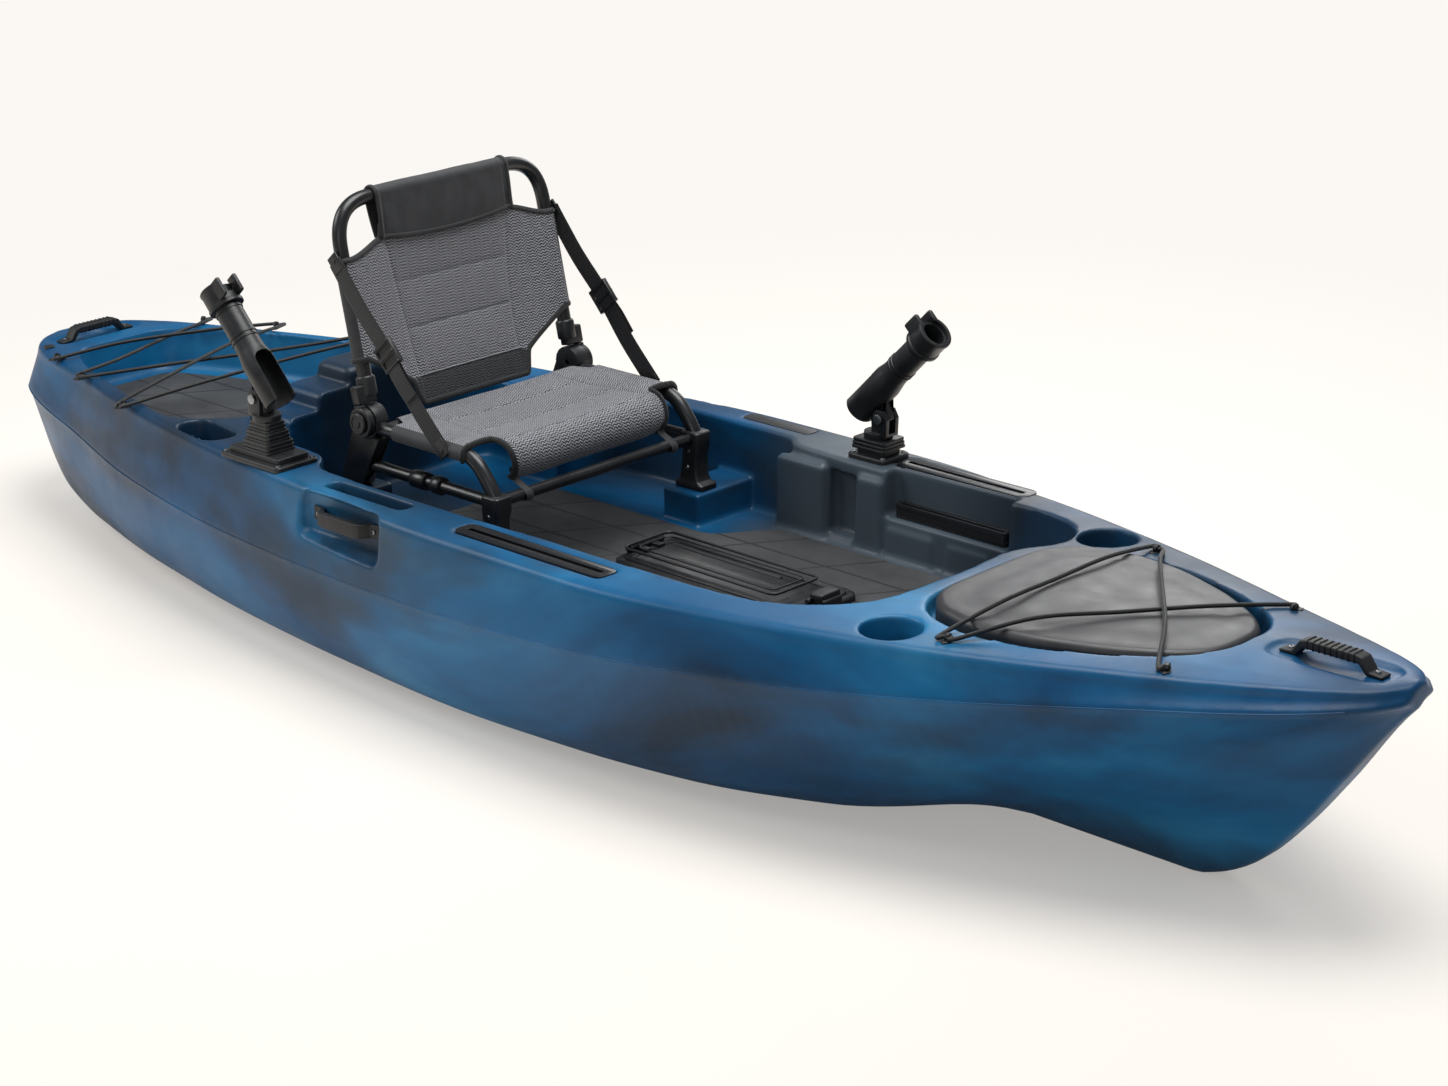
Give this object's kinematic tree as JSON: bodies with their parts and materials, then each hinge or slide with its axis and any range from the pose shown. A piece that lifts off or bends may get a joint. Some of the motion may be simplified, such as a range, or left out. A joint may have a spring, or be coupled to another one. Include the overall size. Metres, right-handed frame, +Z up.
{
  "type": "fishing kayak",
  "caption": "Sit-on-top fishing kayak with a framed folding seat, tilting rod holders, gear tracks, hinged floor hatch, bow hatch, tank well and elastic deck cords.",
  "frame": {"origin": "under the middle of the hull, on the plane that the keel and the runners rest on", "axes": "+X to the bow, +Y to port, +Z up"},
  "size_m": [3.1, 0.8688, 0.7951],
  "materials": {
    "hull_plastic": "rotomoulded, blue with dark smoky swirls, satin",
    "black_plastic": "moulded, fine grain",
    "black_aluminium": "black anodised or powder coated, satin",
    "foam_mat": "closed-cell foam with cut grooves, matt",
    "seal_rubber": "soft, matt",
    "cover_rubber": "moulded, fine grain, matt",
    "seat_mesh": "open woven mesh over foam",
    "black_webbing": "woven polyester",
    "deck_cord": "braided sheath over elastic",
    "steel": "stainless"
  },
  "bodies": {
    "hull": {"hull_stern": "hull_plastic", "hull_aft": "hull_plastic", "hull_fore": "hull_plastic", "hull_bow": "hull_plastic", "bow_handle": "black_plastic", "stern_handle": "black_plastic", "side_handle_starboard": "black_plastic", "side_handle_port": "black_plastic", "gear_track_starboard": "black_aluminium", "gear_track_port": "black_aluminium", "wall_track_port": "black_aluminium", "bow_eye_aft_starboard": "black_plastic", "bow_eye_aft_port": "black_plastic", "bow_eye_fore_starboard": "black_plastic", "bow_eye_fore_port": "black_plastic", "stern_eye_aft_starboard": "black_plastic", "stern_eye_aft_port": "black_plastic", "stern_eye_middle_starboard": "black_plastic", "stern_eye_middle_port": "black_plastic", "stern_eye_fore_starboard": "black_plastic", "stern_eye_fore_port": "black_plastic", "cockpit_mat": "foam_mat", "tankwell_mat": "foam_mat", "centre_hatch_rim": "black_plastic", "lid_hinge_pin": "steel", "bow_hatch_seal": "seal_rubber", "seat_frame": "black_aluminium", "lower_rail_starboard": "black_aluminium", "lower_rail_port": "black_aluminium", "recline_hub_starboard": "black_plastic", "recline_hub_port": "black_plastic", "front_foot_starboard": "black_plastic", "front_foot_port": "black_plastic", "rear_foot_starboard": "black_plastic", "rear_foot_port": "black_plastic", "recline_bolt_starboard": "steel", "recline_bolt_port": "steel", "seat_cloth": "seat_mesh", "seat_strap_starboard": "black_webbing", "seat_strap_port": "black_webbing", "rod_base_starboard": "black_plastic", "rod_base_port": "black_plastic", "gunwale_plate_port": "black_plastic", "drain_plug": "black_plastic", "bow_cord": "deck_cord", "stern_cord": "deck_cord"},
    "backrest": {"backrest_frame": "black_aluminium", "backrest_cloth": "seat_mesh", "backrest_head_cover": "black_webbing"},
    "lid": {"centre_hatch_lid": "black_plastic"},
    "latch": {"lid_latch": "black_plastic"},
    "cover": {"bow_hatch_cover": "cover_rubber"},
    "starboard_fork": {"rod_fork_starboard": "black_plastic", "rod_bolt_starboard": "steel"},
    "starboard_tube": {"rod_tube_starboard": "black_plastic"},
    "starboard_collar": {"rod_collar_starboard": "black_plastic"},
    "port_fork": {"rod_fork_port": "black_plastic", "rod_bolt_port": "steel"},
    "port_tube": {"rod_tube_port": "black_plastic"},
    "port_collar": {"rod_collar_port": "black_plastic"}
  },
  "joints": [
    {"name": "backrest_fold", "type": "hinge", "parent": "hull", "child": "backrest", "pos_m": [-0.344, 0, 0.418], "axis": [0, 1, 0], "range_deg": [0, 75], "deforming": ["seat_strap_starboard", "seat_strap_port"]},
    {"name": "centre_lid", "type": "hinge", "parent": "hull", "child": "lid", "pos_m": [0.033, 0.034, 0.2153], "axis": [0, -1, 0], "range_deg": [0, 85]},
    {"name": "lid_latch_turn", "type": "hinge", "parent": "lid", "child": "latch", "pos_m": [0.428, 0.034, 0.2155], "axis": [0, -1, 0], "range_deg": [0, 100]},
    {"name": "bow_cover_lift", "type": "slide", "parent": "hull", "child": "cover", "axis": [0, 0, 1], "range_m": [0, 0.25], "deforming": ["bow_cord"]},
    {"name": "starboard_swivel", "type": "hinge", "parent": "hull", "child": "starboard_fork", "pos_m": [-0.51, -0.327, 0.41], "axis": [0, 0, 1], "range_deg": [-90, 90]},
    {"name": "starboard_tilt", "type": "hinge", "parent": "starboard_fork", "child": "starboard_tube", "pos_m": [-0.524, -0.327, 0.44367], "axis": [0, 1, 0], "range_deg": [-47, 15]},
    {"name": "starboard_collar_turn", "type": "hinge", "parent": "starboard_tube", "child": "starboard_collar", "pos_m": [-0.49328, -0.327, 0.47231], "axis": [-0.682, 0, 0.7314], "range_deg": [0, 90]},
    {"name": "port_swivel", "type": "hinge", "parent": "hull", "child": "port_fork", "pos_m": [0.274, 0.356, 0.38], "axis": [0, 0, 1], "range_deg": [-90, 90]},
    {"name": "port_tilt", "type": "hinge", "parent": "port_fork", "child": "port_tube", "pos_m": [0.288, 0.356, 0.41411], "axis": [0, -1, 0], "range_deg": [-45, 17]},
    {"name": "port_collar_turn", "type": "hinge", "parent": "port_tube", "child": "port_collar", "pos_m": [0.2583, 0.356, 0.44381], "axis": [0.7071, 0, 0.7071], "range_deg": [0, 90]}
  ]
}
